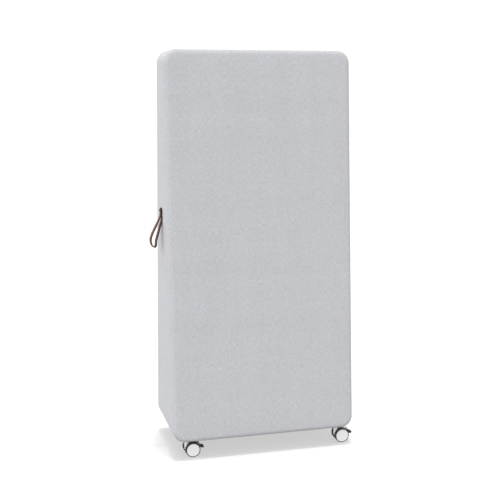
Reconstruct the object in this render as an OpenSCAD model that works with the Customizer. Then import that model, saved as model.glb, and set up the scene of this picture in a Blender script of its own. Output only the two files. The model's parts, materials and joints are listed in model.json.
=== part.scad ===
// Rolling room partition: an upholstered screen whose front and back lean together
// towards the top, with a leather pull loop on its left side, on four twin-wheel
// castors with a foot brake each. Millimetres, +Z up, the front faces -Y, and the
// origin lies on the floor under the middle of the body.

/* [Body] */
// Height of the top above the floor
total_h = 1800; // [1500:5:2100]
// Width of the upholstered body
body_w = 844; // [600:1:1200]
// Depth of the body at its lower edge
foot_d = 442; // [380:1:560]
// Depth of the body at its top
head_d = 190; // [160:1:300]
// Height of the body's underside above the floor
body_rise = 80; // [79:0.5:100]
// Radius of the body's corners, seen from the front
corner_r = 55; // [45:1:90]
// Radius of the upholstered edges round the front and the back
edge_r = 22; // [21:0.5:27]

/* [Upholstery] */
// Thickness of the fabric with its lining
cover_t = 1.5; // [1:0.1:2]
// Thickness of the foam padding
pad_t = 18; // [12:0.5:18]
// Depth of the side seams behind the front and back faces
seam_in = 42; // [34:1:60]
// Opening left between the turned edges at a seam
seam_gap = 0.6; // [0.2:0.1:1.2]
// Space left round each soft layer
soft_gap = 0.4; // [0.2:0.1:0.6]

/* [Frame] */
// Thickness of the front and back boards
board_t = 6; // [4:0.5:9]
// Thickness of the two side panels
panel_t = 15; // [12:1:19]
// Thickness of the top rail
rail_t = 24; // [18:1:30]
// Thickness of the shelf that ties the frame at mid height
shelf_t = 18; // [12:1:24]
// Height of the shelf's underside above the floor
shelf_z = 900; // [700:10:1000]
// Thickness of the base board that holds the castors
base_t = 24; // [21:1:30]
// Thickness of the sound-absorbing sheets
absorber_t = 30; // [15:1:40]
// Gap between the absorbing sheets and the frame round them
absorber_gap = 0.5; // [0.3:0.1:0.9]
// Length of the frame screws
frame_screw_l = 50; // [40:1:60]
// Shank diameter of the frame screws
frame_screw_d = 5; // [4:0.5:6]
// Head diameter of the frame screws
frame_head_d = 10; // [8:0.5:12]
// Head height of the frame screws
frame_head_h = 3; // [2:0.5:4]

/* [Handle] */
// Height of the handle's screw above the floor
handle_z = 1098; // [1050:1:1300]
// Width of the leather strap
strap_w = 24; // [18:1:30]
// Thickness of the leather strap
strap_t = 4.5; // [3:0.1:5]
// Drop of the loop below its screw
loop_drop = 164; // [145:1:200]
// Reach of the loop out from the side
loop_reach = 54; // [48:1:65]
// Shank diameter of the handle's screw
handle_screw_d = 5; // [4:0.5:6]
// Head diameter of the handle's screw
handle_head_d = 11; // [9:0.5:13]
// Diameter of the washer under the screw's head
washer_d = 15; // [14:0.5:18]
// Height of the screw's domed head
handle_head_h = 3; // [2:0.5:4]
// Thickness of the washer
washer_t = 1; // [0.8:0.1:1.6]
// Length of the screw's thread inside the side panel
thread_reach = 12; // [8:1:14]
// Diameter of the threaded sleeve behind the strap
sleeve_nut_d = 12; // [10:0.5:16]

/* [Castors] */
// Wheel diameter over the tyre
wheel_d = 66; // [60:0.5:67]
// Width of one wheel
wheel_w = 12.5; // [11:0.5:16]
// Space between the two wheels of a castor
wheel_gap = 24; // [23.6:0.1:28]
// Thickness of the tyre
tyre_t = 4; // [3:0.1:6]
// Distance from the swivel axis back to the axle
trail = 26; // [24:0.5:30]
// Diameter of the axle
axle_d = 8; // [6:0.5:10]
// Distance of the swivel axis in from the body's side
castor_in_x = 67; // [60:1:120]
// Distance of the swivel axis in from the lower edge of the front or back
castor_in_y = 57; // [50:1:90]
// Diameter of the bright swivel sleeve
sleeve_d = 23; // [20:0.1:23.2]
// Diameter of the swivel pin inside the sleeve
swivel_pin_d = 8; // [6:0.5:10]
// Diameter of the threaded stem above the flange
stem_d = 10; // [8:0.5:12]
// Length of the threaded stem above the flange
stem_l = 24; // [18:1:24]
// Diameter of the flange under the body
flange_d = 30; // [28:1:34]
// Thickness of the flange
flange_t = 3; // [2:0.5:4]
// Clearance between the tyre and the hood
hood_gap = 0.8; // [0.6:0.1:1.5]
// Thickness of the hood
hood_t = 2.2; // [2:0.1:4]
// Thickness of the web between the wheels
web_t = 6; // [5:0.5:8]
// Width of the arm that wraps the sleeve
arm_w = 8; // [6:0.5:12]
// Width of the brake pedal's pad
pad_w = 16; // [12:1:24]
// Radial clearance of everything that turns on a pin
run_fit = 0.05; // [0.02:0.01:0.08]

/* [Hidden] */

$fn = 48;
corner_fn = 36;
edge_fn = 24;
round_fn = 96;
cut = 1;

fabric_color = "#c5c7cb";
foam_color = "#e9e2c8";
board_color = "#b8946a";
plywood_color = "#d2ae7c";
absorber_color = "#8f949b";
steel_color = "#aab0b6";
leather_color = "#6b3a24";
black_plastic = "#1d1d1f";
light_plastic = "#e6e7e9";
tyre_color = "#4b4c4e";

// The body's leaning faces
lean = atan((foot_d - head_d) / 2 / (total_h - body_rise));
function half_depth(z) =
    foot_d / 2 - (foot_d - head_d) / 2 * (z - body_rise) / (total_h - body_rise);
function frame_half_depth(z) = half_depth(z) - (frame_in + board_t) / cos(lean);
body_mid_z = (total_h + body_rise) / 2;

// Depths of the layers under the outer surface, measured square to it
pad_in = cover_t + soft_gap;
pad_back = cover_t + pad_t;
frame_in = pad_back + soft_gap;
frame_half_w = body_w / 2 - frame_in;
base_z = body_rise + cover_t + soft_gap;
base_top = base_z + base_t;
rail_top = total_h - frame_in;
inner_half_w = frame_half_w - panel_t;

// How much rounder the frame's corners are than the space round them
corner_ease = 3;

// The four swivel axes: front left, front right, back left, back right
castor_x = body_w / 2 - castor_in_x;
castor_y = foot_d / 2 - castor_in_y;
castor_places = [
    [-castor_x, -castor_y, 0], [castor_x, -castor_y, 0],
    [-castor_x, castor_y, 0], [castor_x, castor_y, 0]
];

// The threaded inserts that hold the castors' stems in the base board
insert_r = 7;
insert_flange_r = 12;
insert_flange_t = 2;

// ---------- upholstered body ----------

// One rounded corner of the front (side -1) or back (side 1) face, inset all round
module corner_ring(side, across, upper, inset) {
    ring_r = corner_r - edge_r;
    rim = corner_r * cos(lean);
    z = upper ? total_h - rim : body_rise + rim;
    y = side * (half_depth(z) - edge_r / cos(lean));
    translate([across * (body_w / 2 - corner_r), y, z])
        rotate([-side * (90 - lean), 0, 0])
            mirror([across < 0 ? 1 : 0, 0, 0])
                mirror([0, upper == (side > 0) ? 1 : 0, 0])
                    rotate_extrude(angle = 90, $fn = corner_fn)
                        translate([ring_r, 0])
                            circle(edge_r - inset, $fn = edge_fn);
}

// The whole body with every surface moved in by inset
module body_form(inset)
    hull()
        for (side = [-1, 1], across = [-1, 1], upper = [false, true])
            corner_ring(side, across, upper, inset);

// The layer between two insets
module body_layer(outer_in, inner_in)
    difference() {
        body_form(outer_in);
        body_form(inner_in);
    }

// Everything within a depth of the front (side -1) or back (side 1) face
module face_zone(side, depth)
    translate([0, side * half_depth(body_mid_z), body_mid_z])
        rotate([-side * (90 - lean), 0, 0])
            translate([-body_w, -total_h, -depth])
                cube([2 * body_w, 2 * total_h, depth + foot_d]);

// The space that the foot of the frame fills, which the padding leaves free
module foot_space()
    translate([-frame_half_w - soft_gap, -foot_d, 0])
        cube([2 * (frame_half_w + soft_gap), 2 * foot_d, body_rise + 1.1 * corner_r]);

module face_cover(side)
    color(fabric_color)
        intersection() {
            body_layer(0, cover_t);
            face_zone(side, seam_in);
        }

module face_pad(side)
    color(foam_color)
        difference() {
            intersection() {
                body_layer(pad_in, pad_back);
                face_zone(side, seam_in);
            }
            intersection() {
                foot_space();
                frame_block(frame_in - soft_gap);
            }
        }

// A block between the two leaning planes at one inset
module frame_block(inset) {
    low = body_rise - edge_r;
    low_y = half_depth(low) - inset / cos(lean);
    high_y = half_depth(total_h) - inset / cos(lean);
    rotate([90, 0, 90])
        linear_extrude(2 * body_w, center = true)
            polygon([[-low_y, low], [low_y, low], [high_y, total_h], [-high_y, total_h]]);
}

module border_cover()
    color(fabric_color)
        difference() {
            body_layer(0, cover_t);
            face_zone(-1, seam_in + seam_gap);
            face_zone(1, seam_in + seam_gap);
            handle_hole(sleeve_nut_d / 2 + soft_gap);
            at_each_castor()
                cylinder(d = stem_d + 2 * soft_gap, h = base_top);
        }

module border_pad()
    color(foam_color)
        difference() {
            body_layer(pad_in, pad_back);
            face_zone(-1, seam_in + seam_gap);
            face_zone(1, seam_in + seam_gap);
            foot_space();
            handle_hole(sleeve_nut_d / 2 + soft_gap);
        }

module handle_hole(r)
    translate([-body_w, 0, handle_z])
        rotate([0, 90, 0])
            cylinder(r = r, h = body_w);

// ---------- timber frame ----------

// A rectangle with four round corners, from its lower left to its upper right corner
module round_rect(low, high, r) {
    translate([low[0] + r, low[1]])
        square([high[0] - low[0] - 2 * r, high[1] - low[1]]);
    translate([low[0], low[1] + r])
        square([high[0] - low[0], high[1] - low[1] - 2 * r]);
    for (x = [low[0] + r, high[0] - r], z = [low[1] + r, high[1] - r])
        translate([x, z])
            circle(r, $fn = round_fn);
}

// The frame's outline seen from the front: clear of the padding at the sides and the
// top, and of the cover alone at the bottom
module frame_outline()
    intersection() {
        round_rect([-body_w / 2 + pad_in, base_z], [body_w / 2 - pad_in, total_h], foot_r);
        round_rect([-frame_half_w, -total_h], [frame_half_w, rail_top], head_r);
    }

// Half the frame's width at a height, less where the corners are round
foot_r = corner_r - pad_in + corner_ease;
head_r = corner_r - frame_in + corner_ease;
function frame_half_width(z) =
    let (
        up = max(z - (rail_top - head_r), 0),
        down = max(base_z + foot_r - z, 0)
    )
    min(frame_half_w - head_r + sqrt(head_r * head_r - up * up),
        body_w / 2 - pad_in - foot_r + sqrt(foot_r * foot_r - down * down));

module in_frame_outline()
    intersection() {
        rotate([90, 0, 0])
            linear_extrude(2 * foot_d, center = true)
                frame_outline();
        children();
    }

// A block between the two boards, from one height to another
module between_boards(z0, z1, gap = 0) {
    low = frame_half_depth(z0) - gap;
    high = frame_half_depth(z1) - gap;
    rotate([90, 0, 90])
        linear_extrude(2 * inner_half_w, center = true)
            polygon([[-low, z0], [low, z0], [high, z1], [-high, z1]]);
}

// The boards stop where the padding's inner edges start to curve; their two ends are
// measured along the slope from the middle of the body
board_half_w = body_w / 2 - edge_r - soft_gap;
board_end_gap = 3.5;
board_low = (body_mid_z - base_z) / cos(lean) - board_end_gap;
board_high = (rail_top - body_mid_z) / cos(lean) - board_end_gap;

module face_board(side)
    color(board_color)
        in_frame_outline()
            mirror([0, side > 0 ? 1 : 0, 0])
                translate([0, -half_depth(body_mid_z), body_mid_z])
                    rotate([90 - lean, 0, 0])
                        translate([-board_half_w, -board_low, -frame_in - board_t])
                            cube([2 * board_half_w, board_low + board_high, board_t]);

module side_panel(across)
    color(plywood_color)
        difference() {
            in_frame_outline()
                translate([across * (frame_half_w - panel_t / 2), 0, 0])
                    rotate([90, 0, 90])
                        linear_extrude(panel_t, center = true)
                            polygon([
                                [-frame_half_depth(0), 0], [frame_half_depth(0), 0],
                                [frame_half_depth(total_h), total_h],
                                [-frame_half_depth(total_h), total_h]
                            ]);
            frame_screw_holes();
            if (across < 0)
                handle_hole(sleeve_nut_d / 2 + run_fit);
        }

module top_rail()
    color(plywood_color)
        difference() {
            in_frame_outline()
                between_boards(rail_top - rail_t, rail_top);
            frame_screw_holes();
        }

module middle_shelf()
    color(plywood_color)
        difference() {
            between_boards(shelf_z, shelf_z + shelf_t);
            frame_screw_holes();
        }

module base_board()
    color(plywood_color)
        difference() {
            in_frame_outline()
                between_boards(base_z, base_top);
            frame_screw_holes();
            at_each_castor()
                cylinder(r = insert_r, h = base_top + cut);
        }

// Two absorbing sheets, one behind each board, between two heights
module absorbers(z0, z1)
    color(absorber_color)
        difference() {
            intersection() {
                between_boards(z0 + absorber_gap, z1 - absorber_gap, absorber_gap);
                cube([2 * (inner_half_w - absorber_gap), 2 * foot_d, 4 * total_h],
                    center = true);
            }
            between_boards(0, total_h, absorber_gap + absorber_t);
            at_each_castor()
                cylinder(r = insert_flange_r + absorber_gap,
                    h = base_top + insert_flange_t + absorber_gap);
        }

module lower_absorbers()
    absorbers(base_top, shelf_z);

module upper_absorbers()
    absorbers(shelf_z + shelf_t, rail_top - rail_t);

// Frame screws: [height, distance of each of the pair from the middle, distance of the
// heads from the middle]; those in the base board pass between the castor inserts
screw_in = 32;
screw_past_insert = 7;
base_screw_down = 9;
rail_screw_up = 6;
frame_socket_r = 0.4 * frame_screw_d;
base_screw_z = base_top - base_screw_down;
rail_screw_z = rail_top - rail_t + rail_screw_up;
frame_joints = [
    [base_screw_z, castor_y - insert_r - screw_past_insert,
        frame_half_width(base_screw_z - frame_head_d / 2)],
    [shelf_z + shelf_t / 2, frame_half_depth(shelf_z) - screw_in, frame_half_w],
    [rail_screw_z, frame_half_depth(rail_top) - screw_in,
        frame_half_width(rail_screw_z + frame_head_d / 2)]
];

module at_frame_screws()
    for (joint = frame_joints, across = [-1, 1], side = [-1, 1])
        translate([across * joint[2], side * joint[1], joint[0]])
            rotate([0, -across * 90, 0])
                children();

module frame_screw_holes()
    at_frame_screws() {
        translate([0, 0, -cut])
            cylinder(d = frame_screw_d + 2 * run_fit, h = frame_screw_l + 2 * cut);
        translate([0, 0, -frame_head_d])
            cylinder(d = frame_head_d + 2 * run_fit, h = frame_head_h + frame_head_d);
    }

module frame_screws()
    color(steel_color)
        at_frame_screws() {
            cylinder(d = frame_screw_d, h = frame_screw_l);
            difference() {
                cylinder(d = frame_head_d, h = frame_head_h);
                translate([0, 0, -cut])
                    cylinder(r = frame_socket_r, h = frame_head_h, $fn = 6);
            }
        }

// ---------- handle ----------

side_x = -body_w / 2;
strap_gap = 0.25;
layer_gap = 0.1;
inner_layer = strap_gap + strap_t / 2;
outer_layer = inner_layer + strap_t + layer_gap;
strap_face = outer_layer + strap_t / 2;
handle_socket_r = 0.2 * handle_head_d;
handle_screw_l = strap_face + strap_gap + washer_t + frame_in + thread_reach;
nut_rim = 4;
nut_rim_t = 2;
bend_fn = 9;

function bezier(p, t) =
    pow(1 - t, 3) * p[0] + 3 * t * pow(1 - t, 2) * p[1]
    + 3 * t * t * (1 - t) * p[2] + pow(t, 3) * p[3];

// The loop's middle line as [reach, drop] in parts of loop_reach and loop_drop: down
// the outer strand, round the bottom and up the inner strand
loop_curves = [
    [[outer_layer, -strap_w / 2], [outer_layer, -0.16 * loop_drop],
        [0.33 * loop_reach, -0.28 * loop_drop], [0.49 * loop_reach, -0.39 * loop_drop]],
    [[0.49 * loop_reach, -0.39 * loop_drop], [0.65 * loop_reach, -0.5 * loop_drop],
        [loop_reach, -0.7 * loop_drop], [loop_reach, -0.81 * loop_drop]],
    [[loop_reach, -0.81 * loop_drop], [loop_reach, -0.92 * loop_drop],
        [0.86 * loop_reach, -loop_drop], [0.7 * loop_reach, -loop_drop]],
    [[0.7 * loop_reach, -loop_drop], [0.58 * loop_reach, -loop_drop],
        [0.53 * loop_reach, -0.96 * loop_drop], [0.53 * loop_reach, -0.9 * loop_drop]],
    [[0.53 * loop_reach, -0.9 * loop_drop], [0.53 * loop_reach, -0.83 * loop_drop],
        [0.43 * loop_reach, -0.76 * loop_drop], [0.33 * loop_reach, -0.667 * loop_drop]],
    [[0.33 * loop_reach, -0.667 * loop_drop], [0.2 * loop_reach, -0.53 * loop_drop],
        [inner_layer, -0.36 * loop_drop], [inner_layer, -strap_w / 2]]
];

loop_line = concat(
    [[outer_layer, strap_w / 2]],
    [for (curve = loop_curves, i = [0:bend_fn - 1]) bezier(curve, i / bend_fn)],
    [[inner_layer, -strap_w / 2], [inner_layer, strap_w / 2]]
);
loop_last = len(loop_line) - 1;

function loop_normal(i) =
    let (d = loop_line[min(i + 1, loop_last)] - loop_line[max(i - 1, 0)])
    [-d[1], d[0]] / norm(d);

loop_sides = concat(
    [for (i = [0:loop_last]) loop_line[i] + loop_normal(i) * strap_t / 2],
    [for (i = [loop_last:-1:0]) loop_line[i] - loop_normal(i) * strap_t / 2]
);

module handle_strap()
    color(leather_color)
        difference() {
            intersection() {
                translate([side_x, 0, handle_z])
                    rotate([90, 0, 0])
                        mirror([1, 0, 0])
                            linear_extrude(strap_w, center = true)
                                polygon(loop_sides);
                translate([side_x, 0, handle_z])
                    rotate([0, -90, 0])
                        linear_extrude(2 * loop_reach) {
                            circle(d = strap_w);
                            translate([-2 * loop_drop, -strap_w / 2])
                                square([2 * loop_drop, strap_w]);
                        }
            }
            handle_hole(handle_screw_d / 2 + run_fit);
        }

module handle_washer()
    color(steel_color)
        translate([side_x - strap_face - strap_gap, 0, handle_z])
            rotate([0, -90, 0])
                difference() {
                    cylinder(d = washer_d, h = washer_t);
                    translate([0, 0, -cut])
                        cylinder(d = handle_screw_d + 2 * run_fit, h = washer_t + 2 * cut);
                }

module handle_screw()
    color(leather_color)
        translate([side_x - strap_face - strap_gap - washer_t, 0, handle_z]) {
            rotate([0, -90, 0])
                difference() {
                    handle_screw_head();
                    translate([0, 0, handle_head_h / 2])
                        cylinder(r = handle_socket_r, h = handle_head_h, $fn = 6);
                }
            rotate([0, 90, 0])
                cylinder(d = handle_screw_d, h = handle_screw_l);
        }

// A low domed head: the cap of a sphere through the head's rim
module handle_screw_head() {
    rim_r = handle_head_d / 2;
    dome_r = (rim_r * rim_r + handle_head_h * handle_head_h) / (2 * handle_head_h);
    intersection() {
        translate([0, 0, handle_head_h - dome_r])
            sphere(dome_r);
        cylinder(r = handle_head_d, h = 2 * handle_head_h);
    }
}

// A flanged sleeve nut that carries the strap's load past the foam into the panel
module handle_insert()
    color(steel_color)
        difference() {
            union() {
                translate([side_x + strap_gap, 0, handle_z])
                    rotate([0, 90, 0])
                        cylinder(d = sleeve_nut_d, h = frame_in + panel_t - strap_gap);
                translate([side_x + frame_in + panel_t, 0, handle_z])
                    rotate([0, 90, 0])
                        cylinder(d = sleeve_nut_d + 2 * nut_rim, h = nut_rim_t);
            }
            handle_hole(handle_screw_d / 2 + run_fit);
        }

// ---------- castors ----------

wheel_r = wheel_d / 2;
rim_r = wheel_r - tyre_t;
axle_z = wheel_r;
hood_in_r = wheel_r + hood_gap;
hood_r = hood_in_r + hood_t;
hood_side = 0.5;
hood_w = wheel_gap + 2 * (wheel_w + hood_side);
hood_from = 38;
hood_to = 196;
open_from = 102;
past_end = 6;
stem_gap = 0.3;
side_gap = 0.3;
hub_wall = 4;
hub_r = axle_d / 2 + hub_wall;
flange_z = body_rise - flange_t;
sleeve_top = flange_z - stem_gap;
sleeve_up = 1;
sleeve_low = axle_z + sleeve_up;
sleeve_floor = 6;
sleeve_round = 2;

module at_castor(i)
    translate(castor_places[i])
        children();

module at_each_castor()
    for (place = castor_places)
        translate(place)
            children();

// Sketches made in this frame lie in the plane of the wheels, with X to the rear of
// the castor, Y up and the axle at their origin; +Z points to the near wheel
module at_axle()
    translate([trail, 0, axle_z])
        rotate([90, 0, 0])
            children();

module sector(from, to, r)
    polygon(concat([[0, 0]], [for (i = [0:8])
        r * [cos(from + (to - from) * i / 8), sin(from + (to - from) * i / 8)]]));

module ring_sector(in_r, out_r, from, to)
    intersection() {
        difference() {
            circle(out_r, $fn = round_fn);
            circle(in_r, $fn = round_fn);
        }
        sector(from, to, 2 * out_r);
    }

module castor_inserts()
    color(steel_color)
        at_each_castor()
            difference() {
                union() {
                    translate([0, 0, base_z])
                        cylinder(r = insert_r - run_fit, h = base_t);
                    translate([0, 0, base_top])
                        cylinder(r = insert_flange_r, h = insert_flange_t);
                }
                cylinder(d = stem_d + 2 * run_fit, h = base_top + 2 * insert_flange_t);
            }

module castor_stem()
    color(steel_color) {
        translate([0, 0, flange_z])
            cylinder(d = flange_d, h = flange_t);
        translate([0, 0, body_rise])
            cylinder(d = stem_d, h = stem_l);
        translate([0, 0, sleeve_low + sleeve_floor])
            cylinder(d = swivel_pin_d, h = flange_z - sleeve_low - sleeve_floor);
    }

module castor_sleeve()
    color(light_plastic)
        difference() {
            rotate_extrude()
                sleeve_profile();
            translate([0, 0, sleeve_low + sleeve_floor - stem_gap])
                cylinder(d = swivel_pin_d + 2 * run_fit, h = flange_z);
        }

module sleeve_profile() {
    translate([0, sleeve_low + sleeve_round])
        square([sleeve_d / 2, sleeve_top - sleeve_low - sleeve_round]);
    translate([0, sleeve_low])
        square([sleeve_d / 2 - sleeve_round, sleeve_round]);
    translate([sleeve_d / 2 - sleeve_round, sleeve_low + sleeve_round])
        circle(sleeve_round);
}

// The black moulding: a hood over both wheels, open round the sleeve, on a web that
// carries the axle and the brake, with a crescent arm that wraps the sleeve
arm_gap = 1.5;
arm_t = 5.5;
arm_left = -trail - sleeve_d / 2 - arm_gap - arm_t;
arm_out_r = 27;
arm_in_r = 54;
arm_lift = 3.5;
arm_center = [arm_left + arm_out_r, 0.45 * hood_r];
arm_inner_center = [arm_left + arm_t + arm_in_r, arm_center[1] + arm_lift];
arm_foot_r = 3;
arm_foot = [[arm_left + 8.5, -1], [arm_left + 16.5, -10]];
pedal_pivot = [14, 20];
pedal_pin_r = 3;

module castor_housing()
    color(black_plastic)
        difference() {
            union() {
                at_axle()
                    difference() {
                        linear_extrude(hood_w, center = true)
                            ring_sector(hood_in_r, hood_r, hood_from, hood_to);
                        linear_extrude(wheel_gap, center = true)
                            sector(open_from, hood_to + past_end, 2 * hood_r);
                    }
                at_axle()
                    linear_extrude(web_t, center = true)
                        intersection() {
                            circle(hood_in_r + hood_t / 2, $fn = round_fn);
                            sector(hood_from, hood_to + past_end, 2 * hood_r);
                        }
                at_axle()
                    linear_extrude(arm_w, center = true)
                        crescent_arm();
                at_axle()
                    cylinder(r = hub_r, h = wheel_gap - 2 * side_gap, center = true);
            }
            translate([0, 0, sleeve_low - run_fit])
                cylinder(d = sleeve_d + 2 * run_fit, h = body_rise);
            at_axle()
                cylinder(d = axle_d + 2 * run_fit, h = 2 * hood_w, center = true);
            at_axle()
                translate(pedal_pivot)
                    cylinder(r = pedal_pin_r + run_fit, h = 2 * hood_w, center = true);
        }

module crescent_arm() {
    difference() {
        translate(arm_center)
            circle(arm_out_r, $fn = round_fn);
        translate(arm_inner_center)
            circle(arm_in_r, $fn = round_fn);
    }
    bar(arm_foot[0], arm_foot[1], arm_foot_r);
}

face_t = 2.5;
face_in = 0.5;
axle_end_gap = 0.3;

module castor_axle()
    color(steel_color)
        at_axle()
            cylinder(d = axle_d, center = true,
                h = wheel_gap + 2 * (wheel_w - face_in - face_t - axle_end_gap));

// One wheel, near (side 1) or far (side -1): a closed outer face, a hub on the axle,
// and six ribs inside
rim_wall = 3;
rib_count = 6;
rib_t = 1.6;
rib_in = 2;
weld = 0.5;
face_edge = 1;
groove_w = 1;
groove_depth = 0.6;

module castor_wheel(side)
    color(light_plastic)
        at_axle()
            mirror([0, 0, side < 0 ? 1 : 0])
                translate([0, 0, wheel_gap / 2]) {
                    rotate_extrude($fn = round_fn)
                        wheel_profile();
                    for (i = [0:rib_count - 1])
                        rotate(i * 360 / rib_count)
                            translate([hub_r - weld, -rib_t / 2, rib_in])
                                cube([rim_r - rim_wall - hub_r + 2 * weld, rib_t,
                                    wheel_w - face_in - face_t - rib_in + weld]);
                }

module wheel_profile() {
    face_z = wheel_w - face_in;
    translate([axle_d / 2 + run_fit, 0])
        square([hub_wall - run_fit, face_z - face_t + weld]);
    translate([rim_r - rim_wall, 0])
        square([rim_wall, face_z]);
    difference() {
        translate([0, face_z - face_t])
            square([rim_r - face_edge, face_t]);
        translate([rim_r - rim_wall - groove_w, face_z - groove_depth])
            square([groove_w, 2 * groove_depth]);
    }
}

shoulder_r = 2;

module castor_tyre(side)
    color(tyre_color)
        at_axle()
            mirror([0, 0, side < 0 ? 1 : 0])
                translate([0, 0, wheel_gap / 2])
                    rotate_extrude($fn = round_fn)
                        translate([rim_r, 0])
                            tyre_profile();

module tyre_profile()
    intersection() {
        union() {
            square([tyre_t - shoulder_r, wheel_w]);
            translate([0, shoulder_r])
                square([tyre_t, wheel_w - 2 * shoulder_r]);
            for (z = [shoulder_r, wheel_w - shoulder_r])
                translate([tyre_t - shoulder_r, z])
                    circle(shoulder_r);
        }
        translate([run_fit, 0])
            square([tyre_t, wheel_w]);
    }

// The brake pedal: two cheeks astride the web on a moulded pin, a shield that hugs the
// hood, and a pad for the foot
cheek_t = 3;
shield_gap = 2;
shield_t = 3;
shield_from = 12;
shield_to = 52;
shield_in = 2;
lever_r = 4.5;
pivot_wall = 3;
pad_r = 6;
pad_l = 2.5;
pad_z = 8.5;
pad_slope = 1;
pad_start = [hood_r + shield_gap + shield_t + pad_r / 2 - 0.5, pad_z + pad_slope / 2];
pad_end = pad_start + [pad_l, -pad_slope];
lever_end = [hood_r + shield_gap - 0.5, pad_end[1]];

// A bar with round ends between two points. Its sides run a touch inside the ends'
// width, so that they cross the round ends instead of only touching them.
bar_side = 0.997;
module bar(a, b, r) {
    d = b - a;
    for (p = [a, b])
        translate(p)
            circle(r);
    translate(a)
        rotate(atan2(d[1], d[0]))
            translate([0, -bar_side * r])
                square([norm(d), 2 * bar_side * r]);
}

module castor_pedal()
    color(black_plastic)
        at_axle() {
            for (side = [-1, 1])
                translate([0, 0, side * (web_t + cheek_t + 2 * side_gap) / 2])
                    linear_extrude(cheek_t, center = true) {
                        bar(pedal_pivot, lever_end, lever_r);
                        translate(pedal_pivot)
                            circle(pedal_pin_r + pivot_wall);
                    }
            translate(pedal_pivot)
                cylinder(r = pedal_pin_r, h = web_t + cheek_t, center = true);
            linear_extrude(pad_w - 2 * shield_in, center = true)
                ring_sector(hood_r + shield_gap, hood_r + shield_gap + shield_t,
                    shield_from, shield_to);
            linear_extrude(pad_w, center = true)
                bar(pad_start, pad_end, pad_r);
        }

// ---------- nodes ----------

face_cover(-1);  // front_cover
face_cover(1);  // back_cover
border_cover();
face_pad(-1);  // front_pad
face_pad(1);  // back_pad
border_pad();
face_board(-1);  // front_board
face_board(1);  // back_board
side_panel(-1);  // left_panel
side_panel(1);  // right_panel
top_rail();
middle_shelf();
base_board();
lower_absorbers();
upper_absorbers();
frame_screws();
castor_inserts();
handle_insert();
handle_strap();
handle_washer();
handle_screw();
at_castor(0) castor_stem();  // front_left_stem
at_castor(0) castor_sleeve();  // front_left_sleeve
at_castor(0) castor_housing();  // front_left_housing
at_castor(0) castor_axle();  // front_left_axle
at_castor(0) castor_wheel(1);  // front_left_near_wheel
at_castor(0) castor_tyre(1);  // front_left_near_tyre
at_castor(0) castor_wheel(-1);  // front_left_far_wheel
at_castor(0) castor_tyre(-1);  // front_left_far_tyre
at_castor(0) castor_pedal();  // front_left_pedal
at_castor(1) castor_stem();  // front_right_stem
at_castor(1) castor_sleeve();  // front_right_sleeve
at_castor(1) castor_housing();  // front_right_housing
at_castor(1) castor_axle();  // front_right_axle
at_castor(1) castor_wheel(1);  // front_right_near_wheel
at_castor(1) castor_tyre(1);  // front_right_near_tyre
at_castor(1) castor_wheel(-1);  // front_right_far_wheel
at_castor(1) castor_tyre(-1);  // front_right_far_tyre
at_castor(1) castor_pedal();  // front_right_pedal
at_castor(2) castor_stem();  // back_left_stem
at_castor(2) castor_sleeve();  // back_left_sleeve
at_castor(2) castor_housing();  // back_left_housing
at_castor(2) castor_axle();  // back_left_axle
at_castor(2) castor_wheel(1);  // back_left_near_wheel
at_castor(2) castor_tyre(1);  // back_left_near_tyre
at_castor(2) castor_wheel(-1);  // back_left_far_wheel
at_castor(2) castor_tyre(-1);  // back_left_far_tyre
at_castor(2) castor_pedal();  // back_left_pedal
at_castor(3) castor_stem();  // back_right_stem
at_castor(3) castor_sleeve();  // back_right_sleeve
at_castor(3) castor_housing();  // back_right_housing
at_castor(3) castor_axle();  // back_right_axle
at_castor(3) castor_wheel(1);  // back_right_near_wheel
at_castor(3) castor_tyre(1);  // back_right_near_tyre
at_castor(3) castor_wheel(-1);  // back_right_far_wheel
at_castor(3) castor_tyre(-1);  // back_right_far_tyre
at_castor(3) castor_pedal();  // back_right_pedal
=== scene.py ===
import json
import math

import bpy
import numpy as np
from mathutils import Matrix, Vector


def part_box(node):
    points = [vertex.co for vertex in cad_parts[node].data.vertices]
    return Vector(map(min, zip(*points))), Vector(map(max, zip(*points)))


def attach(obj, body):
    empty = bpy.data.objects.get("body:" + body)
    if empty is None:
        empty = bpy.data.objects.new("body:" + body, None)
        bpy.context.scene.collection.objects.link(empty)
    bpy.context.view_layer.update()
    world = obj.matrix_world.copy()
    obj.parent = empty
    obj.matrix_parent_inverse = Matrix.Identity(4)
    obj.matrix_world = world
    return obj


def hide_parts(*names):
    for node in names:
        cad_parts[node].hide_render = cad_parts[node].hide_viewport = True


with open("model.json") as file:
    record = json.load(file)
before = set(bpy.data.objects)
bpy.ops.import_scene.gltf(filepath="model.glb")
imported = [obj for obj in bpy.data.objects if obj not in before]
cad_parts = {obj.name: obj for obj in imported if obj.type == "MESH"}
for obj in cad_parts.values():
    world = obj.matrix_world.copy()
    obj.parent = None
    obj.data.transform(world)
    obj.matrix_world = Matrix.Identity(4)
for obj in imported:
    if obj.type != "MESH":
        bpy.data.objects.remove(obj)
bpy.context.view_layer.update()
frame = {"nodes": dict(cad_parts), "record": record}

# ---------- sizes ----------

cover_low, cover_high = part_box("border_cover")
half_w = cover_high.x       # half the body's width
top_z = cover_high.z        # height of the top
rise = cover_low.z          # height of the underside
foot_half = 0.221           # half the body's depth at the underside
head_half = 0.095           # half the body's depth at the top
corner_r = 0.055            # corners, seen from the front
edge_r = 0.022              # edges round the front and the back
cover_t = 0.0015            # cover alone
layer_t = 0.0195            # cover and foam together
layer_gap = 0.0004          # space between the foam and the timber frame
panel_half_w = half_w - layer_t - layer_gap
seam_in = 0.042             # seams behind the front and back faces
seam_gap = 0.0006           # opening between the turned edges at a seam
roll_r = 0.0014             # radius of each turned edge
roll_depth = 0.003          # how far a turned edge goes in

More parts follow.
